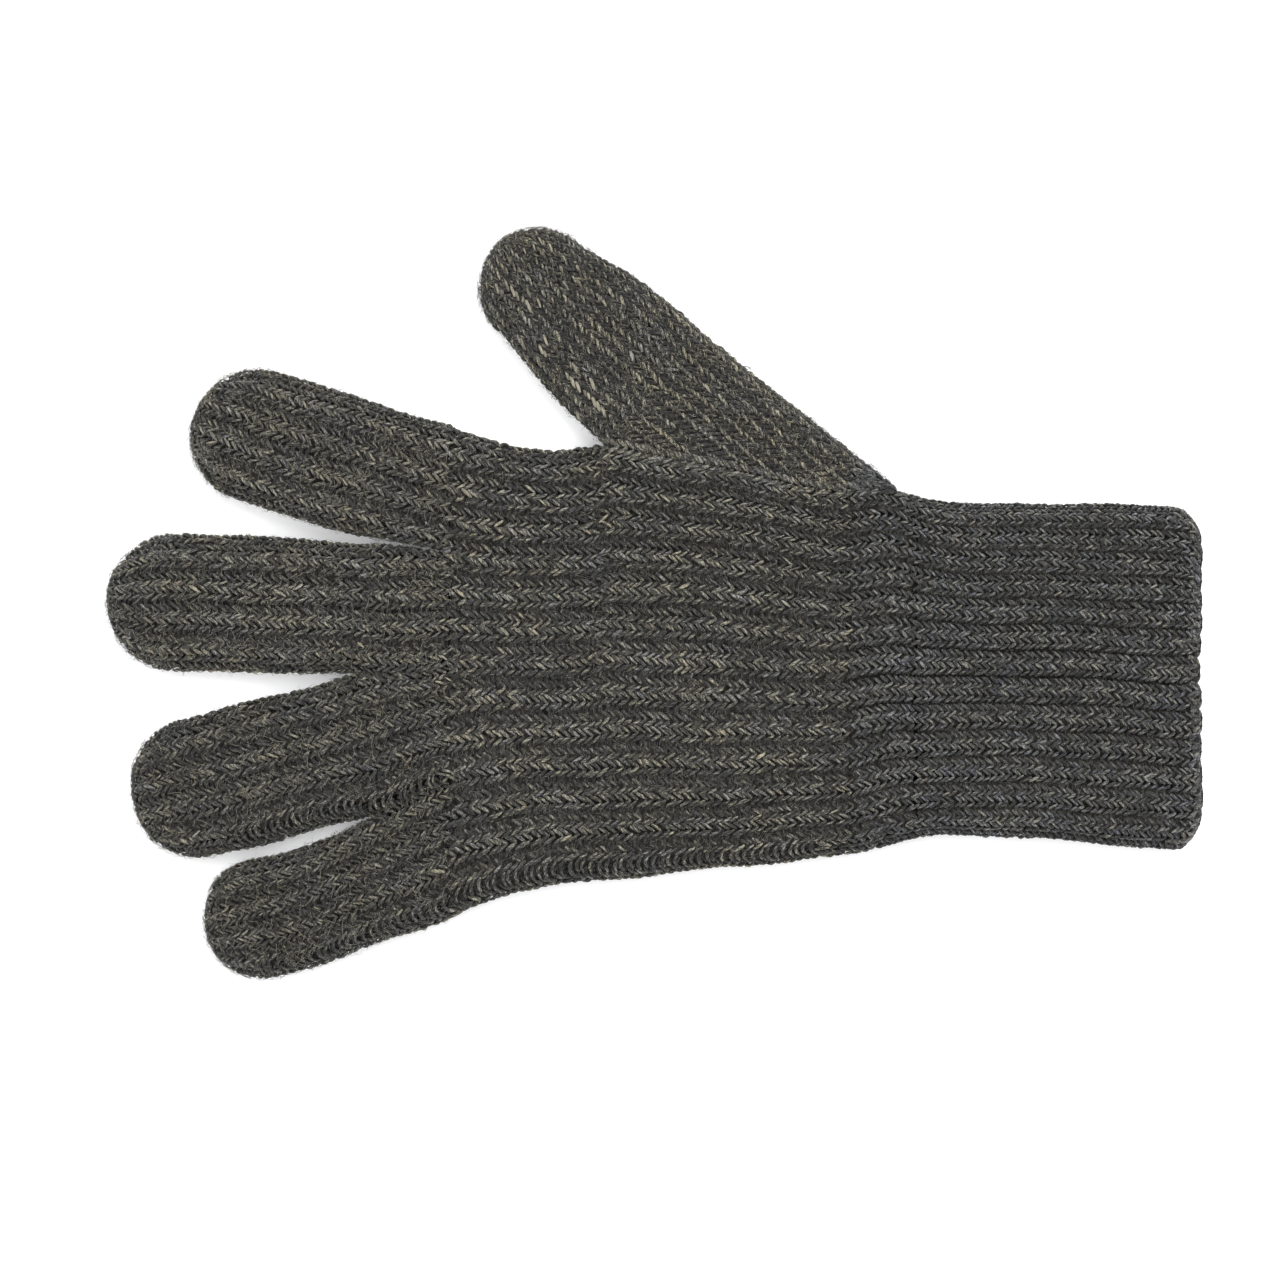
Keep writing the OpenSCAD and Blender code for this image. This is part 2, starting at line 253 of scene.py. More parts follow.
class Finger:
    """A finger along a smooth line from its root to the centre of its tip circle.

    open_low and open_high say where it comes free of the fingers beside it, measured along it.
    """

    def __init__(self, root_y, root_deg, tip, tip_r, tip_deg, halves, open_low, open_high):
        self.tip_r, self.halves = tip_r, halves
        self.free_from = (open_low, open_high)
        start, end = np.array([KNUCKLE_X, root_y]), np.array(tip)
        chord = np.linalg.norm(end - start)
        k = np.linspace(0, 1, 200)[:, None]
        line = ((2 * k**3 - 3 * k**2 + 1) * start + (k**3 - 2 * k**2 + k) * direction(root_deg) * chord
                + (3 * k**2 - 2 * k**3) * end + (k**3 - k**2) * direction(tip_deg) * chord)
        step = np.linalg.norm(np.diff(line, axis=0), axis=1)
        self.us = np.concatenate([[0], np.cumsum(step)])
        self.line = line
        self.way = np.gradient(line, self.us, axis=0)
        self.tip_u = self.us[-1]
        self.end_u = self.tip_u + cap_length(tip_r)

    def __call__(self, u, t, inset=0.0):
        b = MID_Z - inset
        ul = np.minimum(u, self.tip_u)
        c = np.stack([np.interp(ul, self.us, self.line[:, i]) for i in (0, 1)], -1)
        w = np.stack([np.interp(ul, self.us, self.way[:, i]) for i in (0, 1)], -1)
        w /= np.linalg.norm(w, axis=-1, keepdims=True)
        c = c + w * np.minimum(u, 0)[..., None]
        e = np.stack([w[..., 1], -w[..., 0]], -1)
        half = curve(ul, self.halves, 3) - inset
        r_lo, r_hi = (np.minimum(b, SQUARE_R + (ROUND_R - SQUARE_R) * ramp(u, free - 9, free + 4))
                      for free in self.free_from)
        q, z = section(t, -half, half, b, r_lo, r_hi)
        along, across, z = cap(u - self.tip_u, q / half, z, half, self.tip_r - inset, b)
        flat = c + w * along[..., None] + e * across[..., None]
        return np.concatenate([flat, (MID_Z + z)[..., None]], -1)


FINGER = {
    "index": Finger(27.7, 11, (-98.1, 41.2), 16.1, 21,
                    [(0, 15.3), (12, 15.8), (25, 16.5), (43, 16.6), (60, 16.1)], 17, -9),
    "middle": Finger(-2.3, -2, (-118.5, -0.1), 16.7, 0,
                     [(0, 14.1), (17, 16.4), (25, 16.1), (54, 17), (70, 16.7)], 20, 17),
    "ring": Finger(-29.8, -16, (-111.9, -45.8), 17.3, -14,
                   [(0, 13.1), (11, 15.4), (21, 17.5), (32, 17.3), (50, 17.6), (66, 17.3)], 28, 20),
    "little": Finger(-61, -26, (-95.9, -78.2), 15.1, -12,
                     [(0, 16.3), (12, 15.3), (24, 14.2), (32, 14.4), (44, 14.9), (52, 15.1)], -9, 28),
}


# Where a column of bars shows along the little-finger side of a finger, measured along it
LADDER = {"ring": (6, 58), "little": (-7, 54)}
NO_LADDER = (0, 0)


def across_thumb(point):
    return np.dot(np.array(point) - THUMB_ROOT, sideways(THUMB_DEG))


def along_thumb(point):
    return np.dot(np.array(point) - THUMB_ROOT, direction(THUMB_DEG))


FOLD_LINE = [(along_thumb(p), across_thumb(p)) for p in (FOLD_E, FOLD_D, FOLD_A)]
OUTER_LINE = [(along_thumb(FOLD_E), across_thumb(FOLD_E) + 0.5), (0, THUMB_HALF[0][1])]


def thumb_sides(u):
    """How far the inner and outer side lie from the thumb's middle line."""
    lo = np.where(u < 0, np.interp(u, *zip(*FOLD_LINE)), -curve(u, THUMB_HALF, 3))
    hi = np.where(u < 0, np.interp(u, *zip(*OUTER_LINE)), curve(u, THUMB_HALF, 3))
    return lo, hi


def thumb(u, t, inset=0.0):
    """Thumb and, for u below 0, the gusset between the fold line and the glove's outer side."""
    b = MID_Z - inset
    lo, hi = thumb_sides(np.minimum(u, THUMB_TIP_U))
    lo, hi = lo + inset, np.maximum(hi - inset, lo + inset + 0.8)
    room = 0.48 * (hi - lo)
    r_lo = np.minimum(np.minimum(b, SQUARE_R + (ROUND_R - SQUARE_R) * ramp(u, -3, 6)), room)
    r_hi = np.minimum(np.minimum(b, ROUND_R), room)
    q, z = section(t, lo, hi, b, r_lo, r_hi)
    half = np.where(u > 0, hi, 1.0)
    along, across, z = cap(u - THUMB_TIP_U, np.clip(q / half, -1, 1), z, half, THUMB_TIP_R - inset, b)
    across = np.where(u > THUMB_TIP_U, across, q)
    along = np.where(u > THUMB_TIP_U, along, 0) + np.minimum(u, THUMB_TIP_U)
    flat = THUMB_ROOT + direction(THUMB_DEG) * along[..., None] + sideways(THUMB_DEG) * across[..., None]
    return np.concatenate([flat, (MID_Z + z)[..., None]], -1)


def thumb_face(u):
    """Length over one face of the thumb or gusset, from its inner to its outer side."""
    lo, hi = thumb_sides(np.minimum(u, THUMB_TIP_U))
    room = 0.48 * (hi - lo)
    r_lo = np.minimum(SQUARE_R + (ROUND_R - SQUARE_R) * ramp(u, -3, 6), room)
    return half_round(lo, hi, MID_Z, r_lo, np.minimum(ROUND_R, room))


# ---- Yarn ----


class Knit:
    """Gathers tubes of yarn for one mesh."""

    def __init__(self):
        self.tubes = []

    def add(self, centres, normals, radii, sides=6, tone=None, wear=None):
        """centres (n, k, 3), normals (n, 3) and radii (n, k) of n tubes with k rings each."""
        if len(centres):
            n = len(centres)
            middle = centres[:, centres.shape[1] // 2]
            tone = tones(middle) if tone is None else tone
            wear = np.zeros(n) if wear is None else wear
            self.tubes.append((centres, normals, radii, sides, np.stack([tone, hues(middle), wear], -1)))

    def only(self, keep):
        """The same knit, with only the tubes whose middle point keep says to keep."""
        out = Knit()
        for c, n, r, sides, marks in self.tubes:
            m = keep(c[:, c.shape[1] // 2])
            if m.any():
                out.tubes.append((c[m], n[m], r[m], sides, marks[m]))
        return out

    def join(self, other):
        self.tubes += other.tubes
        return self


PAINTED_FLANK_SHADE = 0.22     # painted shade: how much darker the yarn is painted half-way down its sides, where they lie in shade


def tube_mesh(centres, normals, radii, sides, marks):
    """Points, faces and yarn coordinates of n closed tubes, each with a point at both ends."""
    n, k, _ = centres.shape
    way = np.gradient(centres, axis=1)
    way /= np.linalg.norm(way, axis=-1, keepdims=True) + 1e-9
    up = np.broadcast_to(normals[:, None], way.shape)
    across = np.cross(way, up)
    across /= np.linalg.norm(across, axis=-1, keepdims=True) + 1e-9
    up = np.cross(across, way)
    a = np.arange(sides) / sides * 2 * math.pi - math.pi / 2
    ring = across[:, :, None] * np.cos(a)[:, None] + up[:, :, None] * np.sin(a)[:, None]
    step = np.linalg.norm(np.diff(centres, axis=1), axis=-1)
    length = np.concatenate([np.zeros((n, 1)), np.cumsum(step, 1)], 1)
    turn = a[None, None] + TWIST * length[:, :, None]
    ply = np.cos(2 * turn)
    points = centres[:, :, None] + ring * (radii[:, :, None] * (1 + PLY_RELIEF_AND_SHADE * ply))[..., None]
    ends = [centres[:, 0] - way[:, 0] * radii[:, :1] * 0.7, centres[:, -1] + way[:, -1] * radii[:, -1:] * 0.7]
    points = np.concatenate([points.reshape(n, -1, 3), ends[0][:, None], ends[1][:, None]], 1)

    fibre = np.stack([length[:, :, None] + 0 * turn, radii[:, :, None] * np.cos(turn),
                      radii[:, :, None] * np.sin(turn)], -1).reshape(n, -1, 3)
    fibre = np.concatenate([fibre, np.stack([length[:, [0]], 0 * length[:, [0]], 0 * length[:, [0]]], -1),
                            np.stack([length[:, [-1]], 0 * length[:, [0]], 0 * length[:, [0]]], -1)], 1)
    fibre += rng.random((n, 1, 3)) * 400

    i, j = np.meshgrid(np.arange(k - 1), np.arange(sides), indexing="ij")
    jn = (j + 1) % sides
    quads = np.stack([i * sides + j, (i + 1) * sides + j, (i + 1) * sides + jn, i * sides + jn], -1)
    quads = quads.reshape(-1, 4)
    e = np.arange(sides)
    en = (e + 1) % sides
    first, last = k * sides, k * sides + 1
    tris = np.concatenate([np.stack([0 * e + first, e, en], -1),
                           np.stack([0 * e + last, (k - 1) * sides + en, (k - 1) * sides + e], -1)])
    v_ring = (np.arange(k) + 1) / (k + 1)
    uq = np.stack([j, j, j + 1, j + 1], -1).reshape(-1, 4) / sides
    vq = np.stack([v_ring[i], v_ring[i + 1], v_ring[i + 1], v_ring[i]], -1).reshape(-1, 4)
    ut = np.concatenate([np.stack([e + 0.5, e, e + 1], -1), np.stack([e + 0.5, e + 1, e], -1)]) / sides
    vt = np.concatenate([np.stack([0.0 * e, 0 * e + v_ring[0], 0 * e + v_ring[0]], -1),
                         np.stack([0 * e + 1.0, 0 * e + v_ring[-1], 0 * e + v_ring[-1]], -1)])
    marks = np.repeat(marks[:, None], points.shape[1], axis=1)
    # Painted highlight and shade on the tone: lighter on each ply's crest, darker in the crevices between the
    # plies.
    # Painted shade on the tone: darker down the yarn's sides, where they lie in shade.
    marks[:, :k * sides, 0] += (PLY_RELIEF_AND_SHADE * ply - PAINTED_FLANK_SHADE * (1 - np.sin(a))).reshape(n, -1)
    return points, quads, tris, fibre.reshape(-1, 3), marks.reshape(-1, 3), (uq, vq, ut, vt)


def make_object(name, knit, materials, lining=None):
    """One Blender object from a knit: yarn in the first material, lining in the second.

    The UV layer OFBake gives each tube a cell of its own, and the lining the strip above them.
    """
    points, loops, totals, uvs, fibres, marks, slots = [], [], [], [], [], [], []
    base = 0
    count = sum(len(t[0]) for t in knit.tubes)
    rows = max(1, math.ceil(math.sqrt(count / 0.8)))
    high = 0.8 if lining is not None else 1.0
    cell_x, cell_y = 1 / rows, high / math.ceil(max(count, 1) / rows)
    placed = 0
    for tube in knit.tubes:
        p, quads, tris, fibre, mark, (uq, vq, ut, vt) = tube_mesh(*tube)
        n, per, _ = p.shape
        shift = base + per * np.arange(n)
        index = placed + np.arange(n)
        corner = np.stack([(index % rows) * cell_x, (index // rows) * cell_y], -1)
        for faces, fu, fv in ((quads, uq, vq), (tris, ut, vt)):
            loops.append((faces[None] + shift[:, None, None]).reshape(-1))
            totals.append(np.full(n * len(faces), faces.shape[1]))
            fu = corner[:, None, None, 0] + (0.06 + 0.88 * fu[None]) * cell_x
            fv = corner[:, None, None, 1] + (0.06 + 0.88 * fv[None]) * cell_y
            uvs.append(np.stack([fu, fv], -1).reshape(-1, 2))
            slots.append(np.zeros(n * len(faces), int))
        points.append(p.reshape(-1, 3))
        fibres.append(fibre)
        marks.append(mark)
        base += n * per
        placed += n
    if lining is not None:
        p, faces, uv, mark = lining
        loops.append(faces.reshape(-1) + base)
        totals.append(np.full(len(faces), 4))
        uvs.append(np.stack([uv[..., 0], 0.81 + 0.18 * uv[..., 1]], -1).reshape(-1, 2))
        slots.append(np.ones(len(faces), int))
        points.append(p)
        fibres.append(p)
        marks.append(mark)
    points = settle(np.concatenate(points)) * MM
    loops, totals = np.concatenate(loops), np.concatenate(totals)
    mesh = bpy.data.meshes.new(name)
    mesh.vertices.add(len(points))
    mesh.vertices.foreach_set("co", points.astype(np.float32).ravel())
    mesh.loops.add(len(loops))
    mesh.loops.foreach_set("vertex_index", loops.astype(np.int32))
    mesh.polygons.add(len(totals))
    mesh.polygons.foreach_set("loop_start", np.concatenate([[0], np.cumsum(totals)[:-1]]).astype(np.int32))
    mesh.polygons.foreach_set("material_index", np.concatenate(slots).astype(np.int32))
    mesh.polygons.foreach_set("use_smooth", np.ones(len(totals), bool))
    for m in materials:
        mesh.materials.append(m)
    uv_layer = mesh.uv_layers.new(name="OFBake")
    uv_layer.data.foreach_set("uv", np.concatenate(uvs).astype(np.float32).ravel())
    for label, values in (("fibre", fibres), ("stitch", marks)):
        attribute = mesh.attributes.new(label, "FLOAT_VECTOR", "POINT")
        attribute.data.foreach_set("vector", np.concatenate(values).astype(np.float32).ravel())
    mesh.update(calc_edges=True)
    obj = bpy.data.objects.new(name, mesh)
    bpy.context.scene.collection.objects.link(obj)
    return obj


# ---- Stitches ----

# Rubbed patches on the palm side, as (x, y, radius, amount)
WORN = [(-51, 29, 6, 0.3), (-59, 33, 7, 0.2), (-32, 69, 4, 1.0), (-26, 61, 4, 1.3), (-20, 54, 4, 1.3),
        (-15, 47, 4, 1.0), (-38, 77, 4, 0.9)]


def tones(p):
    """Tone of each piece of yarn: most alike, some pale flecks, and slow drifts over the fabric.

    The ring and little fingers are a little darker than the rest.
    """
    n = len(p)
    drift = np.sin(p[:, 0] * 0.11 + 2.1 * np.sin(p[:, 1] * 0.07)) * np.sin(p[:, 1] * 0.16 + 1.3)
    fleck = (rng.random(n) < 0.015) * rng.uniform(0.15, 0.3, n)
    darker = 0.08 * ramp(-p[:, 1], 18, 28) * ramp(-p[:, 0], 45, 60)
    return np.clip(0.51 + rng.normal(0, 0.095, n) + 0.05 * drift + fleck - darker, 0, 1)


def hues(p):
    """Hue of each piece of yarn, from bluish at 0 to yellowish at 1, in soft patches."""
    x, y = p[:, 0], p[:, 1]
    patch = np.sin(x * 0.21 + 1.7 * np.sin(y * 0.13)) * np.sin(y * 0.27 + np.sin(x * 0.09))
    return np.clip(0.42 + 0.16 * patch + rng.normal(0, 0.13, len(p)), 0, 1)


def frames(surface, u, t, dt, course, toward_tip, inset=YARN_INSET):
    """Place, one course towards the fingertips, one wale sideways and outward normal at each (u, t)."""
    d, e = 0.25, 0.004
    p = surface(u, t, inset)
    along = (surface(u + d, t, inset) - surface(u - d, t, inset)) / (2 * d) * course * toward_tip
    across = (surface(u, t + e, inset) - surface(u, t - e, inset)) / (2 * e) * np.asarray(dt)[..., None]
    normal = np.cross(across, along)
    normal /= np.linalg.norm(normal, axis=-1, keepdims=True) + 1e-9
    return p, along, across, normal


def wear_at(p):
    """How pale the yarn is rubbed. In a rubbed patch, some arms are and others aren't."""
    total = sum(amount * np.exp(-((p[:, 0] - x) ** 2 + (p[:, 1] - y) ** 2) / r**2)
                for x, y, r, amount in WORN)
    return (rng.random(len(p)) < 0.5 * total) * rng.uniform(0.3, 0.9, len(p)) * (p[:, 2] > MID_Z)


def rib_relief(f, flatness):
    """How low a rib lies at a fraction f of its width, from 0 at its crest to 1 in the furrows."""
    f = np.clip(f, 0, 1)
    return (1 - flatness) * (0.5 + 0.5 * np.cos(2 * math.pi * f)) + flatness * np.abs(2 * f - 1) ** 5


def lay_arms(knit, surface, u, t, dt, course, toward_tip, frac, depth, width, pitch, radius, tuck=None,
             reach=HAND_RIB.reach, uneven_arms=0.0, flatness=HAND_RIB.flatness):
    """Both arms of the V stitches at (u, t), whose columns are width wide.

    frac is a stitch's place across its rib; arms near a furrow get painted shade. tuck is how far it is
    pressed in and thinned, and it adds painted shade.
    uneven_arms makes one arm paler than the other.
    """
    p, along, across, normal = frames(surface, u, t, dt, course, toward_tip)
    n = len(u)
    tuck = np.zeros(n) if tuck is None else tuck
    tight = np.clip(np.linalg.norm(across, axis=-1) / width, 0.4, 1.2)
    k = np.linspace(0, 1, 5)
    for hand in (-1, 1):
        # The arm's path: x sideways in columns, y along in rows, z outward in millimetres
        jig = rng.normal(0, 1, (n, 5))
        x = hand * (0.04 + 0.47 * k**0.9)[None] + 0.035 * jig[:, :1]
        y = (reach * (k - 0.43))[None] + 0.12 * jig[:, 1:2] + 0.12 * jig[:, 4:] * k
        z = (0.62 * np.sin(math.pi * (0.12 + 0.76 * k)) - 0.62)[None] + 0.09 * jig[:, 2:3]
        z = z * radius / 0.5 - 0.45 * tuck[:, None]
        z = z - np.reshape(depth, (-1, 1)) * rib_relief(frac[:, None] + x * (width / pitch), flatness)
        centres = (p[:, None] + across[:, None] * x[..., None] + along[:, None] * y[..., None]
                   + normal[:, None] * z[..., None])
        r = radius * (0.6 + 0.4 * np.sin(math.pi * k))[None] * (1 + 0.1 * jig[:, 3:4])
        r = r * (tight * (1 - 0.12 * tuck))[:, None]
        # Painted shade: arms that lie near a furrow, and tucked arms, get a darker tone for the shade in the
        # furrows and recesses.
        low = rib_relief(frac + hand * 0.3 * width / pitch, flatness)
        shade = 0.36 * low * (np.reshape(depth, -1) > 0.5) + 0.1 * tuck
        knit.add(centres, normal, r, tone=np.clip(tones(p) - shade + uneven_arms * hand, 0, 1),
                 wear=wear_at(p) * (hand > 0 or uneven_arms == 0))


def lay_purls(knit, surface, u, t, dt, course, toward_tip, depth, radius, painted_dim=0.4):
    """Bars of yarn across a column, in the furrow between two ribs or in the open at a side, their tone
    darkened as painted shade.
    """
    p, along, across, normal = frames(surface, u, t, dt, course, toward_tip)
    n = len(u)
    k = np.array([-0.7, -0.25, 0.25, 0.7])
    bow = 1 - (k / 0.7) ** 2
    jig = rng.normal(0, 1, (n, 4))
    x = k[None] + 0.08 * jig[:, 3:]
    y = (0.35 * bow)[None] + 0.14 * jig[:, :1] + 0.12 * jig[:, 2:3] * k
    z = -depth - 0.35 + (0.3 * bow)[None] + 0.08 * jig[:, 1:2]
    centres = (p[:, None] + across[:, None] * x[..., None] + along[:, None] * y[..., None]
               + normal[:, None] * z[..., None])
    # Painted shade: the bars' tone is lowered for the shade they lie in, below the arms.
    knit.add(centres, normal, radius * (0.75 + 0.25 * bow)[None] * (1 + 0.1 * jig[:, 2:3]), sides=5,
             tone=np.clip(tones(p) - painted_dim, 0, 1))


def lay_fuzz(knit, surface, u, t):
    """Loose fibres that curl over the yarn."""
    p, along, _, normal = frames(surface, u, t, np.full(len(u), 0.05), 1.0, 1)
    n = len(u)
    along /= np.linalg.norm(along, axis=-1, keepdims=True) + 1e-9
    side = np.cross(along, normal)
    a = rng.uniform(0, 2 * math.pi, n)
    way = along * np.cos(a)[:, None] + side * np.sin(a)[:, None]
    bend = np.cross(way, normal) * rng.normal(0, 0.5, (n, 1))
    k = np.linspace(0, 1, 4)
    length = rng.uniform(1.0, 3.4, n)[:, None, None]
    high = rng.gamma(1.6, 0.22, n)[:, None, None]
    rise = np.sin(math.pi * np.clip(k * rng.uniform(0.55, 1.0, (n, 1)), 0, 1))[..., None]
    centres = (p[:, None] + way[:, None] * k[:, None] * length
               + bend[:, None] * (k * k)[:, None] * length * 0.5 + normal[:, None] * (0.15 + high * rise))
    knit.add(centres, normal, np.full((n, 4), FIBRE_R), sides=3, tone=rng.uniform(0.5, 1.0, n))


def grid(us, ts):
    u, t = np.meshgrid(us, ts, indexing="ij")
    return u.ravel(), t.ravel()


def rib_knit(surface, us, ribs, kind, toward_tip, taper=False, ladder=NO_LADDER):
    """Two columns of V stitches to each rib, all the way round a section.

    Between the two u of ladder, the first column on the palm side shows bars instead. In the hand's
    ribs, which lie open, one column of each rib is partly tucked in and purls show in the furrows.
    """
    knit = Knit()
    is_open = kind == HAND_RIB
    rib = np.arange(ribs)
    for wale, frac in enumerate((0.5 - kind.width / 2, 0.5 + kind.width / 2)):
        for side in (0, 1):
            u, t = grid(us, (side + (rib + FURROW + frac) / ribs) % 2)
            row = np.round((u - us[0]) / kind.course).astype(int)
            column = np.tile(rib, len(us))
            u = u + kind.course * (0.45 * wale + rng.uniform(-0.15, 0.15, ribs)[column])
            uneven = 1 + 0.25 * np.sin(0.13 * u + 2.4 * column) + 0.15 * np.sin(0.31 * u + 1.1 * column)
            uneven *= end_taper(u, us[-1]) if taper else 1
            tuck = (0.25 + 0.5 * (row % 2 == 0)) * (wale == 1 - side) * (1.0 if is_open else 0.2)
            bars = (column + side + wale == 0) & (u > ladder[0]) & (u < ladder[1])
            lay_purls(knit, surface, u[bars], t[bars], np.full(bars.sum(), 0.28 / ribs), kind.course,
                      toward_tip, -0.05, BAR_R, painted_dim=0.2)
            m = ~bars
            lay_arms(knit, surface, u[m], t[m], np.full(m.sum(), kind.width / ribs), kind.course, toward_tip,
                     np.full(m.sum(), frac), kind.depth * uneven[m], kind.width * kind.pitch, kind.pitch,
                     kind.radius, tuck[m], kind.reach, flatness=kind.flatness)
    if is_open:
        for side in (0, 1):
            u, t = grid(us, (side + (rib + FURROW) / ribs) % 2)
            lay_purls(knit, surface, u, t, np.full(len(u), 0.22 / ribs), kind.course, toward_tip,
                      0.85 * kind.depth, PURL_R)
    return knit


def fuzz(knit, surface, u0, u1, amount):
    lay_fuzz(knit, surface, rng.uniform(u0, u1, amount), rng.uniform(0, 2, amount))


def end_taper(u, end_u):
    """Share of the ribs' relief that is left near the end of a section."""
    return np.clip((end_u - u) / 7, 0.25, 1)


def lining(surface, us, ts, ribs=0, kind=HAND_RIB, taper=False):
    """Grid mesh of the fabric under the yarn: its outer face along us, then its inner face back."""
    rows = [(u, LINING_OUT, 0.0) for u in us]
    rows += [(u, LINING_IN, 1.0) for u in us[::-1]]
    relief = kind.depth * rib_relief((ts * ribs - FURROW) % 1, kind.flatness) if ribs else 0 * ts
    points = np.stack([surface(np.full(len(ts), u), ts,
                               inset + relief * (1 - inner) * (end_taper(u, us[-1]) if taper else 1))
                       for u, inset, inner in rows])
    nr, nt = len(rows), len(ts)
    i, j = np.meshgrid(np.arange(nr - 1), np.arange(nt), indexing="ij")
    jn = (j + 1) % nt
    faces = np.stack([i * nt + j, i * nt + jn, (i + 1) * nt + jn, (i + 1) * nt + j], -1).reshape(-1, 4)
    across = np.stack([j, j + 1, j + 1, j], -1) / nt
    along = np.stack([i, i, i + 1, i + 1], -1) / (nr - 1)
    uv = np.stack([across, along], -1).reshape(-1, 4, 2)
    marks = np.zeros((nr * nt, 3))
    marks[:, 0] = 0.3
    marks[:, 1] = np.repeat([inner for _, _, inner in rows], nt)
    return points.reshape(-1, 3), faces, uv, marks


def cut(sheet, keep):
    """The part of a lining whose faces' middles keep says to keep, with its own points."""
    points, faces, uv, marks = sheet
    faces_in = keep(points[faces].mean(1))
    faces, uv = faces[faces_in], uv[faces_in]
    used, back = np.unique(faces, return_inverse=True)
    return points[used], back.reshape(-1, 4), uv, marks[used]


# ---- Materials ----


def node(tree, kind, **settings):
    n = tree.nodes.new(kind)
    for key, value in settings.items():
        if hasattr(n, key):
            setattr(n, key, value)
        else:
            n.inputs[key.replace("_", " ")].default_value = value
    return n


def maths(tree, operation, a, b, clamp=False):
    n = tree.nodes.new("ShaderNodeMath")
    n.operation = operation
    n.use_clamp = clamp
    for socket, value in zip(n.inputs, (a, b)):
        if isinstance(value, (int, float)):
            socket.default_value = value
        else:
            tree.links.new(value, socket)
    return n.outputs[0]


def colour_ramp(tree, factor, stops):
    n = tree.nodes.new("ShaderNodeValToRGB")
    elements = n.color_ramp.elements
    while len(elements) < len(stops):
        elements.new(1.0)
    for e, (place, colour) in zip(elements, stops):
        e.position = place
        e.color = (*colour, 1)
    tree.links.new(factor, n.inputs[0])
    return n.outputs[0]


def mix(tree, blend, factor, a, b):
    n = tree.nodes.new("ShaderNodeMix")
    n.data_type = "RGBA"
    n.blend_type = blend
    for socket, value in ((n.inputs[0], factor), (n.inputs[6], a), (n.inputs[7], b)):
        if isinstance(value, (int, float)):
            socket.default_value = value
        elif isinstance(value, tuple):
            socket.default_value = (*value, 1)
        else:
            tree.links.new(value, socket)
    return n.outputs[2]


HUES = [(0.05, (0.80, 0.84, 1.0)), (0.35, (0.90, 0.91, 0.90)), (0.62, (0.95, 0.93, 0.80)),
        (0.84, (1.0, 0.88, 0.80)), (1.0, (0.97, 0.96, 0.66))]


def wool(name, dark, middle, light, pale, rubbed=(0.27, 0.24, 0.175)):
    """Melange wool yarn: fibres that run along the yarn with its twist, and a tone for each stitch."""
    material = bpy.data.materials.new(name)
    material.use_nodes = True
    tree = material.node_tree
    shader = tree.nodes["Principled BSDF"]
    fibre = node(tree, "ShaderNodeAttribute", attribute_name="fibre")
    stitch = node(tree, "ShaderNodeAttribute", attribute_name="stitch")
    split = tree.nodes.new("ShaderNodeSeparateXYZ")
    tree.links.new(stitch.outputs["Vector"], split.inputs[0])
    tone, hue, wear = split.outputs

    stretch = node(tree, "ShaderNodeMapping")
    stretch.inputs["Scale"].default_value = (0.6, 2.8, 2.8)
    tree.links.new(fibre.outputs["Vector"], stretch.inputs["Vector"])
    strands = node(tree, "ShaderNodeTexNoise", Scale=1.0, Detail=5.0, Roughness=0.8)
    tree.links.new(stretch.outputs[0], strands.inputs["Vector"])

    contrast = maths(tree, "MULTIPLY", maths(tree, "SUBTRACT", strands.outputs[0], 0.5), 5.6)
    toned = maths(tree, "ADD", tone, contrast)
    base = colour_ramp(tree, toned, [(0.0, dark), (0.45, middle), (0.8, light), (1.0, pale)])
    coloured = mix(tree, "MULTIPLY", 1.0, base, colour_ramp(tree, hue, HUES))
    worn = maths(tree, "MULTIPLY", wear, maths(tree, "ADD", strands.outputs[0], 0.25), True)
    tree.links.new(mix(tree, "MIX", worn, coloured, rubbed), shader.inputs["Base Color"])

    bump = node(tree, "ShaderNodeBump", Strength=0.9, Distance=0.0004)
    tree.links.new(strands.outputs[0], bump.inputs["Height"])
    tree.links.new(bump.outputs[0], shader.inputs["Normal"])
    rough = maths(tree, "ADD", maths(tree, "MULTIPLY", strands.outputs[0], 0.2), 0.74)
    tree.links.new(rough, shader.inputs["Roughness"])
    shader.inputs["Specular IOR Level"].default_value = 0.3
    shader.inputs["Sheen Weight"].default_value = 0.12
    shader.inputs["Sheen Roughness"].default_value = 0.6
    return material


DARK_WOOL = (0.004, 0.004, 0.0038)
PALE_WOOL = (0.40, 0.37, 0.29)
YARN = {
    "hand_knit": wool("hand_wool", DARK_WOOL, (0.040, 0.039, 0.035), (0.155, 0.15, 0.13), PALE_WOOL),
    "finger_knit": wool("finger_wool", DARK_WOOL, (0.043, 0.042, 0.0373), (0.176, 0.169, 0.144), PALE_WOOL),
    "thumb_knit": wool("thumb_wool", DARK_WOOL, (0.016, 0.0155, 0.0142), (0.079, 0.076, 0.066),
                       (0.42, 0.39, 0.30), rubbed=(0.48, 0.44, 0.33)),
    "cuff_knit": wool("cuff_wool", DARK_WOOL, (0.030, 0.0305, 0.032), (0.102, 0.103, 0.105),
                      (0.28, 0.27, 0.245)),
    "closing_yarn": wool("closing_wool", DARK_WOOL, (0.040, 0.039, 0.035), (0.14, 0.134, 0.115),
                         (0.28, 0.26, 0.20)),
}


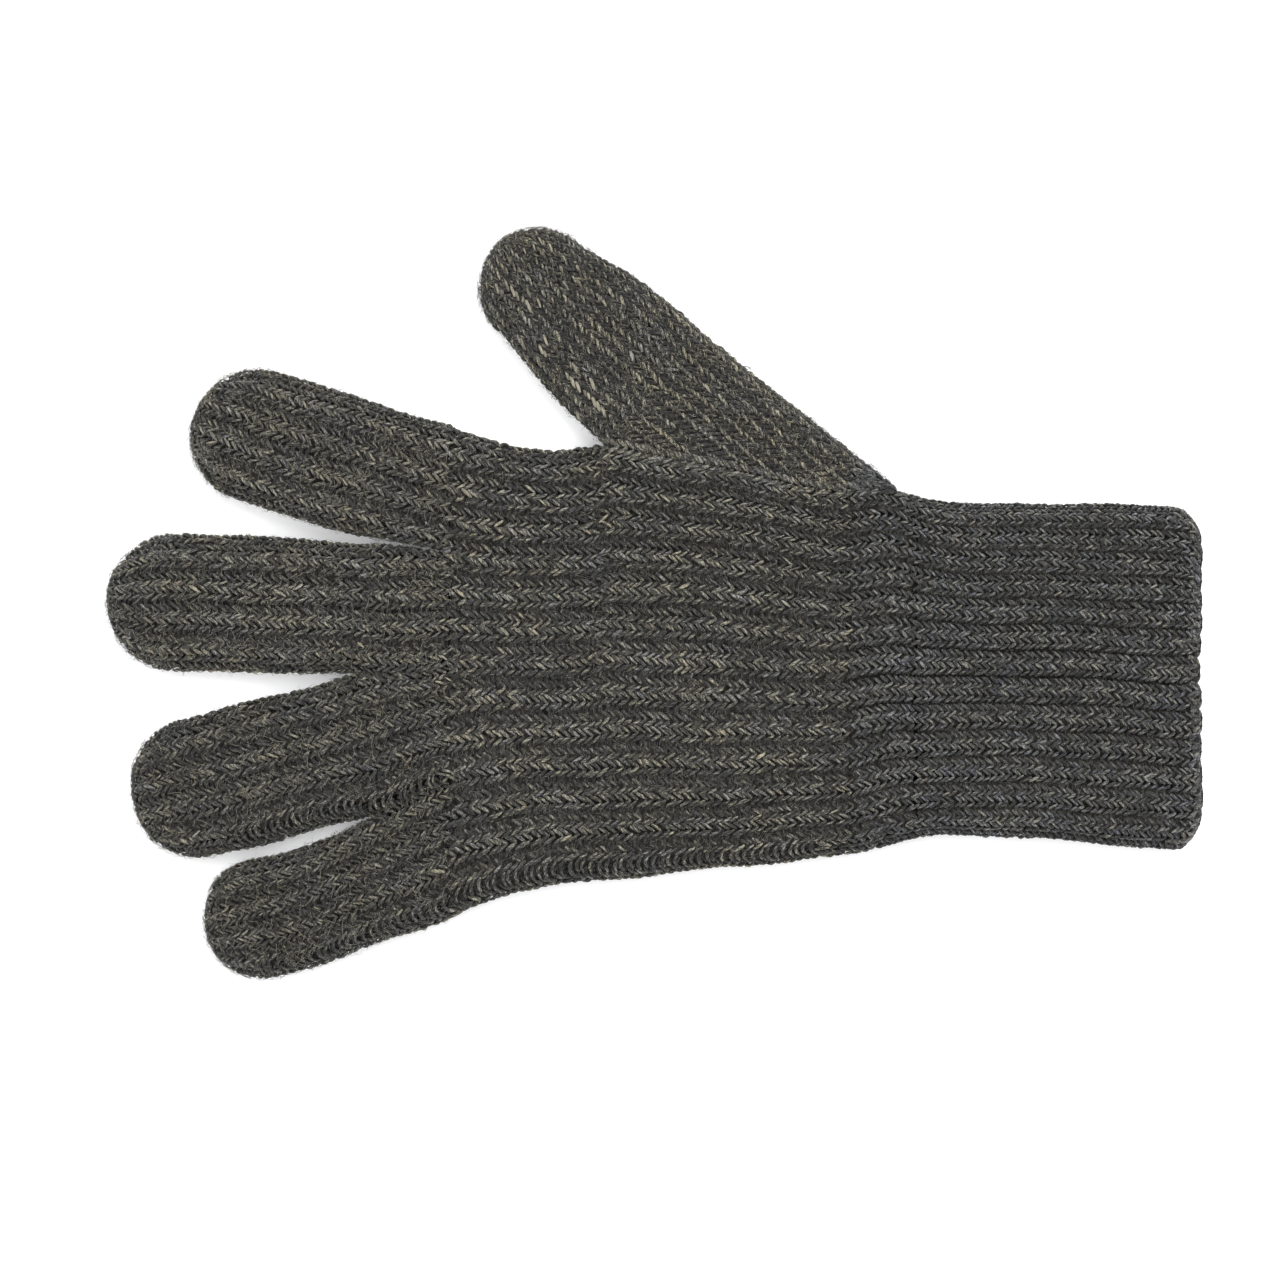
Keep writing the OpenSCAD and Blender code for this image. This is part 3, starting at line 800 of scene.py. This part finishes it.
def shaded_lining_material():
    """The fabric behind the stitches, with a fine purl texture; it is painted darker than the yarn, as
    painted shade for the gaps between the stitches.
    """
    material = bpy.data.materials.new("lining_wool_painted_shade")
    material.use_nodes = True
    tree = material.node_tree
    shader = tree.nodes["Principled BSDF"]
    place = node(tree, "ShaderNodeAttribute", attribute_name="fibre")
    stretch = node(tree, "ShaderNodeMapping")
    stretch.inputs["Scale"].default_value = (0.9, 0.45, 0.9)
    tree.links.new(place.outputs["Vector"], stretch.inputs["Vector"])
    noise = node(tree, "ShaderNodeTexNoise", Scale=1.6, Detail=4.0, Roughness=0.7)
    tree.links.new(stretch.outputs[0], noise.inputs["Vector"])
    # Painted shade: colours darker than the yarn's, for the shade in the gaps between the stitches and inside
    # the glove.
    stops = [(0.35, DARK_WOOL), (0.52, (0.022, 0.021, 0.019)), (0.68, (0.08, 0.076, 0.066))]
    tree.links.new(colour_ramp(tree, noise.outputs[0], stops), shader.inputs["Base Color"])
    bump = node(tree, "ShaderNodeBump", Strength=0.8, Distance=0.0006)
    tree.links.new(noise.outputs[0], bump.inputs["Height"])
    tree.links.new(bump.outputs[0], shader.inputs["Normal"])
    shader.inputs["Roughness"].default_value = 0.95
    shader.inputs["Specular IOR Level"].default_value = 0.1
    return material


LINING = shaded_lining_material()


# ---- Pieces ----


def finish_piece(obj, body=None, blend=None, nodes=()):
    """Rides obj on body, or, when blend is given, bakes its place into its mesh, and hides the CAD parts that
    it replaces.
    """
    if blend:
        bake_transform(obj)
    else:
        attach(obj, body)
    if nodes:
        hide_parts(*nodes)


# Heights of the seams that show, and of those under the upper one, which show when the thumb folds
SEAM_Z = (2 * MID_Z - YARN_INSET, YARN_INSET)
UNDER_SEAM_Z = (9.2, 8.2, 7.2)
SEAM_STRIP = 8         # width of the strip that a seam is laid on
SEAM_WIDTH = 3.2
SEAM_YARN_R = 0.55


def seam(x0, x1, z):
    """One column of stitches along the line where the gusset joins the hand."""
    def strip(u, t, inset=0.0):
        return np.stack([u, curve(u, HIGH_SIDE, 3) + (t - 0.5) * SEAM_STRIP, z + 0 * u], -1)

    knit = Knit()
    course = HAND_RIB.course
    u = np.arange(x0, x1, course)
    t = np.full(len(u), 0.5)
    lay_arms(knit, strip, u, t, np.full(len(u), SEAM_WIDTH / SEAM_STRIP), course, -1, t, 0, SEAM_WIDTH,
             SEAM_STRIP, SEAM_YARN_R)
    return knit


def make_hand():
    us = np.arange(KNUCKLE_X - 1.2, WRIST_X, HAND_RIB.course)
    knit = rib_knit(body, us, BODY_RIBS, HAND_RIB, -1, ladder=(-60, 40))
    fuzz(knit, body, KNUCKLE_X, WRIST_X, 8500)
    for z in SEAM_Z:
        knit.join(seam(CROTCH_X + 3, WRIST_X, z))
    for z in UNDER_SEAM_Z:
        knit.join(seam(CROTCH_X + 0.5, 30, z))
    rows = [np.arange(KNUCKLE_X, CROTCH_X - 1, 2.1), np.arange(CROTCH_X, WRIST_X + 1, 2.02)]
    sheet = lining(body, np.concatenate(rows), np.arange(0, 2, 1 / (BODY_RIBS * 5)), BODY_RIBS)
    for name, x0, x1 in (("knuckle", KNUCKLE_X, CROTCH_X), ("palm", CROTCH_X, WRIST_X)):
        def inside(c):
            return (c[:, 0] > x0) & (c[:, 0] <= x1)
        for face, front in (("front", True), ("back", False)):
            part = knit.only(lambda c: inside(c) & ((c[:, 2] >= MID_Z) == front))
            obj = make_object(f"{name}_{face}_knit", part, [YARN["hand_knit"]])
            finish_piece(obj, "hand", nodes=[f"{name}_section"])
        obj = make_object(f"{name}_lining", Knit(), [YARN["hand_knit"], LINING], cut(sheet, inside))
        finish_piece(obj, "hand")


def make_cuff(gusset_knit):
    us = np.arange(WRIST_X + 0.9, CUFF_END - 0.8, CUFF_RIB.course)
    knit = rib_knit(cuff, us, BODY_RIBS, CUFF_RIB, -1, taper=True)
    fuzz(knit, cuff, WRIST_X, CUFF_END, 6000)
    knit.join(gusset_knit)
    for z in SEAM_Z:
        knit.join(seam(WRIST_X + 0.5, FOLD_E[0] - 6, z))
    bend_end = WRIST_X + 16.4
    rows = [np.arange(WRIST_X, bend_end, 2.05), np.linspace(bend_end, CUFF_END, 32)]
    sheet = lining(cuff, np.concatenate(rows), np.arange(0, 2, 1 / (BODY_RIBS * 6)), BODY_RIBS, CUFF_RIB,
                   taper=True)

    def in_bend(c):
        return c[:, 0] < bend_end

    def beyond(c):
        return c[:, 0] >= bend_end

    obj = make_object("wrist_knit", knit.only(in_bend), [YARN["cuff_knit"], LINING], cut(sheet, in_bend))
    finish_piece(obj, blend=("hand", "cuff", (WRIST_X, 0, 0), (WRIST_X + 15.5, 0, 0)),
                 nodes=["cuff_rib"])
    for face, front in (("front", True), ("back", False)):
        part = knit.only(lambda c: beyond(c) & ((c[:, 2] >= MID_Z) == front))
        obj = make_object(f"cuff_{face}_knit", part, [YARN["cuff_knit"]])
        finish_piece(obj, "cuff", nodes=["cuff_rib"])
    obj = make_object("cuff_lining", Knit(), [YARN["cuff_knit"], LINING], cut(sheet, beyond))
    finish_piece(obj, "cuff")


def over_edge(knit, surface, u_end, t, turn_t, lean, reach, radius):
    """Loops of yarn that cross the rim at u_end. turn_t gives t and inset on the way round."""
    k = np.linspace(0, 1, 7)
    n = len(t)
    jig = rng.normal(0, 1, (n, 2))
    paths = []
    for place in k:
        tt, inset = turn_t(t + lean * (place - 0.5), place)
        back = reach * abs(math.cos(math.pi * place)) * (1 + 0.08 * jig[:, 0])
        paths.append(surface(u_end - back, tt, inset))
    centres = np.stack(paths, 1)
    normals = np.broadcast_to(np.array([0.3, 0.2, 0.93]), (n, 3))
    r = radius * (0.7 + 0.3 * np.sin(math.pi * k))[None] * (1 + 0.08 * jig[:, 1:])
    knit.add(centres, normals, r)


def make_cast_on():
    """The first row: a loop over the cuff's edge for each stitch, and the chain that they stand on."""
    knit = Knit()
    stitches = BODY_RIBS * 2 * 3
    t = (np.arange(stitches) + 0.5) / stitches * 2

    def through(tt, place):
        return tt % 2, 0.35 + 0.95 * (1 - math.cos(math.pi * place))

    edge = CUFF_END - EDGE_X_BACK
    over_edge(knit, cuff, edge, t, through, 0.004, 1.5, 0.66)
    k = np.linspace(-0.75, 0.75, 6)
    paths = [cuff(np.full(stitches, edge - 0.25 * x * x), (t + x * 2 / stitches) % 2, 1.6 + 0.8 * x)
             for x in k]
    knit.add(np.stack(paths, 1), np.array([[0.9, 0, 0.4]] * stitches),
             np.tile(0.62 - 0.2 * k**2, (stitches, 1)))
    obj = make_object("cast_on_stitches", knit, [YARN["cuff_knit"]])
    finish_piece(obj, "cuff", nodes=["cuff_cast_on_edge"])


def make_closing(name, surface, end_u, count=13):
    """The last stitches of a tip, sewn over its rim from the palm side to the back."""
    knit = Knit()
    t = np.linspace(0.2, 0.8, count)

    def around(tt, place):
        return np.where(place < 0.5, tt, 2 - tt), 0.5

    for lean in (0.04, -0.04):
        over_edge(knit, surface, end_u - 0.4, t, around, lean, 2.0, 0.47)
    obj = make_object(f"{name}_closing_stitches", knit, [YARN["closing_yarn"]])
    finish_piece(obj, f"{name}_tip", nodes=[f"{name}_tip_closure"])


def make_tail(name, body_name, rising):
    """A woven-in yarn end: two plies twisted round each other, ending in loose fibres.

    It lies in the CAD tail's box, from corner to corner, with y rising along x or falling.
    """
    low, high = (np.array(c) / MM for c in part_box(name))
    r = (high[2] - low[2]) / 2
    start = np.array([low[0] + r, (low[1] + r) if rising else (high[1] - r), low[2] + r])
    end = np.array([high[0] - r, (high[1] - r) if rising else (low[1] + r), low[2] + r])
    length = np.linalg.norm(end - start)
    k = np.linspace(0, 1, int(length * 2.2))[:, None]
    way = (end - start) / length
    up = np.array([0, 0, 1.0])
    side = np.cross(way, up)
    knit = Knit()
    plies = []
    for phase in (0, math.pi):
        a = phase + k * length * 1.5
        plies.append(start + (end - start) * k + 0.5 * r * (side * np.cos(a) + up * np.sin(a)))
    knit.add(np.stack(plies), np.array([up] * 2), np.full((2, len(k)), 0.55 * r))
    fray = 24
    k = np.linspace(0, 1, 4)[None, :, None]
    spread = rng.normal(0, 0.35, (fray, 1, 3)) * [0.4, 1, 0.6]
    knit.add(start + (way * -1 + spread) * k * rng.uniform(0.5, 1.0, (fray, 1, 1)), np.array([up] * fray),
             np.full((fray, 4), 0.06), sides=3)
    obj = make_object(name + "_twist", knit, [YARN["closing_yarn"]])
    finish_piece(obj, body_name, nodes=[name])


def make_crotch(name):
    """Stitches that bridge palm side and back between two fingers."""
    low, high = (np.array(c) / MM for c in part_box(name))
    middle = (low + high) / 2
    knit = Knit()
    count = 5
    k = np.linspace(-1, 1, 7)
    y = np.linspace(-1.0, 1.0, count)[:, None] + 0.25 * k[None]
    x = -0.9 * (1 - k * k)[None] + 0.15 * rng.normal(0, 1, (count, 1)) + 0 * y
    z = 0 * y + 4.55 * np.sin(k * math.pi / 2)[None]
    knit.add(np.stack([middle[0] + x, middle[1] + y, MID_Z + z], -1), np.array([[1.0, 0, 0]] * count),
             np.full((count, 7), 0.45))
    obj = make_object(name + "_yarn", knit, [YARN["hand_knit"]])
    finish_piece(obj, "hand", nodes=[name])


def make_finger(name, first_cut, tip_zone):
    """first_cut is the x between base and middle, and tip_zone a pair of x at the tip; the tip part begins
    1.5 past its first, towards the root.
    """
    f = FINGER[name]
    knit = rib_knit(f, np.arange(-6, f.end_u - 0.3, HAND_RIB.course), FINGER_RIBS, HAND_RIB, 1, taper=True,
                    ladder=LADDER.get(name, NO_LADDER))
    fuzz(knit, f, -2, f.end_u, 3200)
    rows = [np.arange(-8, f.end_u - 0.4, 1.7), [f.end_u]]
    sheet = lining(f, np.concatenate(rows), np.arange(0, 2, 1 / (FINGER_RIBS * 6)), FINGER_RIBS, taper=True)
    second_cut = tip_zone[0] + 1.5
    parts = [("base", first_cut, KNUCKLE_X, "hand", (KNUCKLE_X, first_cut + 1.5)),
             ("middle", second_cut, first_cut, f"{name}_base", (first_cut - 1.5, first_cut - 15.5)),
             ("tip", -999, second_cut, f"{name}_middle", tip_zone)]
    for part, x0, x1, before, (start, end) in parts:
        def inside(c):
            return (c[..., 0] > x0) & (c[..., 0] <= x1)
        obj = make_object(f"{name}_{part}_knit", knit.only(inside), [YARN["finger_knit"], LINING],
                          cut(sheet, inside))
        finish_piece(obj, blend=(before, f"{name}_{part}", (start, 0, 0), (end, 0, 0)),
                     nodes=[f"{name}_{part}"])
    make_closing(name, f, f.end_u)


def make_thumb():
    """Thumb and gusset. Gives back the gusset's knit beyond the wrist, which belongs to the cuff."""
    knit = Knit()
    end_u = THUMB_TIP_U + cap_length(THUMB_TIP_R)
    gusset_u = along_thumb(FOLD_E)
    us = np.arange(gusset_u + 2.2, end_u - 0.3, HAND_RIB.course)
    wales = int(thumb_face(np.array(6.0)) / THUMB_WALE)
    face_root = thumb_face(np.array(0.0))
    for k in range(wales):
        inward = (k + 0.5) / wales
        share = np.where(us > 0, inward, inward * face_root / thumb_face(us))
        ok = share < 1 - 0.3 / wales
        u, share = us[ok], share[ok]
        dt = np.where(u > 0, 1 / wales, face_root / thumb_face(u) / wales)
        for t in (1 - share, 1 + share):
            n = len(u)
            lay_arms(knit, thumb, u + HAND_RIB.course * rng.uniform(-0.2, 0.2), t, dt, HAND_RIB.course, 1,
                     np.full(n, 0.5), 0.35, THUMB_WALE, THUMB_WALE, THUMB_YARN_R,
                     tuck=0.6 * (k % 3 == 2) + 0.5 * rng.random(n), reach=1.45, uneven_arms=0.14)
    fuzz(knit, thumb, gusset_u + 6, end_u, 5200)
    rows = [np.arange(gusset_u + 1.2, end_u - 0.4, 1.6), [end_u]]
    sheet = lining(thumb, np.concatenate(rows), np.arange(0, 2, 1 / 60))

    def at(u):
        return (*(THUMB_ROOT + direction(THUMB_DEG) * u), 0)

    hinge, middle = 0.25, 13.7
    fold_start = at(along_thumb((48, 37.3)))
    parts = [("thumb_gusset", -999, hinge, ("hand", "thumb_gusset", fold_start, at(0))),
             ("thumb_base", hinge, middle, ("thumb_gusset", "thumb_base", at(0), at(13))),
             ("thumb_tip", middle, 999, ("thumb_base", "thumb_tip", at(14.5), at(29.5)))]
    for name, u0, u1, blend in parts:
        def inside(c):
            u = (c[..., :2] - THUMB_ROOT) @ direction(THUMB_DEG)
            return (u >= u0) & (u < u1) & (c[..., 0] < WRIST_X)
        obj = make_object(f"{name}_knit", knit.only(inside), [YARN["thumb_knit"], LINING], cut(sheet, inside))
        finish_piece(obj, blend=blend, nodes=[name])
    make_closing("thumb", thumb, end_u, 11)
    return knit.only(lambda c: c[:, 0] >= WRIST_X)


# ---- Camera, light and floor ----

FRAME_W = 314.8        # width of the view at the glove's height
CAMERA_X, CAMERA_Y = -3.2, -9.6
CAMERA_H = 1100.0
SENSOR_W = 36
FLOOR_HALF = 15.0      # metres, as is the next
FLOOR_Z = -0.0003


def make_camera():
    data = bpy.data.cameras.new("camera")
    data.sensor_width = SENSOR_W
    data.lens = SENSOR_W * (CAMERA_H - 10) / FRAME_W
    data.clip_end = 20
    cam = bpy.data.objects.new("camera", data)
    cam.location = (CAMERA_X * MM, CAMERA_Y * MM, CAMERA_H * MM)
    bpy.context.scene.collection.objects.link(cam)
    bpy.context.scene.camera = cam


def make_stage():
    mesh = bpy.data.meshes.new("floor")
    s, z = FLOOR_HALF, FLOOR_Z
    mesh.from_pydata([(-s, -s, z), (s, -s, z), (s, s, z), (-s, s, z)], [], [(0, 1, 2, 3)])
    floor = bpy.data.objects.new("floor", mesh)
    bpy.context.scene.collection.objects.link(floor)
    material = bpy.data.materials.new("floor_white")
    material.use_nodes = True
    shader = material.node_tree.nodes["Principled BSDF"]
    shader.inputs["Base Color"].default_value = (0.9, 0.9, 0.9, 1)
    shader.inputs["Roughness"].default_value = 0.9
    shader.inputs["Specular IOR Level"].default_value = 0.1
    shader.inputs["Emission Color"].default_value = (0.97, 0.98, 1, 1)
    shader.inputs["Emission Strength"].default_value = 0.22
    mesh.materials.append(material)


def make_lights():
    world = bpy.data.worlds.new("studio")
    world.use_nodes = True
    background = world.node_tree.nodes["Background"]
    background.inputs["Color"].default_value = (1, 1, 1, 1)
    background.inputs["Strength"].default_value = 1.15
    bpy.context.scene.world = world
    for name, place, size, power in (("key", (0.5, 0.8, 1.4), 1.0, 19.0),
                                     ("fill", (-0.9, -0.3, 1.4), 1.4, 7.0)):
        data = bpy.data.lights.new(name, "AREA")
        data.size = size
        data.energy = power
        light = bpy.data.objects.new(name, data)
        light.location = place
        x, y, z = place
        light.rotation_euler = (math.atan2(math.hypot(x, y), z), 0, math.atan2(x, -y))
        bpy.context.scene.collection.objects.link(light)
    bpy.context.scene.view_settings.view_transform = "Standard"


make_camera()
make_stage()
make_lights()
make_hand()
make_cuff(make_thumb())
make_cast_on()
make_finger("index", -66.5, (-85.5, -98.5))
make_finger("middle", -66.5, (-97, -111))
make_finger("ring", -66.5, (-92, -106))
make_finger("little", -66.5, (-84.5, -97.5))
make_tail("cuff_yarn_tail", "cuff", False)
for finger in ("thumb", "index", "middle", "ring", "little"):
    make_tail(f"{finger}_yarn_tail", f"{finger}_tip", finger in ("ring", "little"))
for crotch in ("thumb", "index_middle", "middle_ring", "ring_little"):
    make_crotch(f"{crotch}_crotch_stitches")
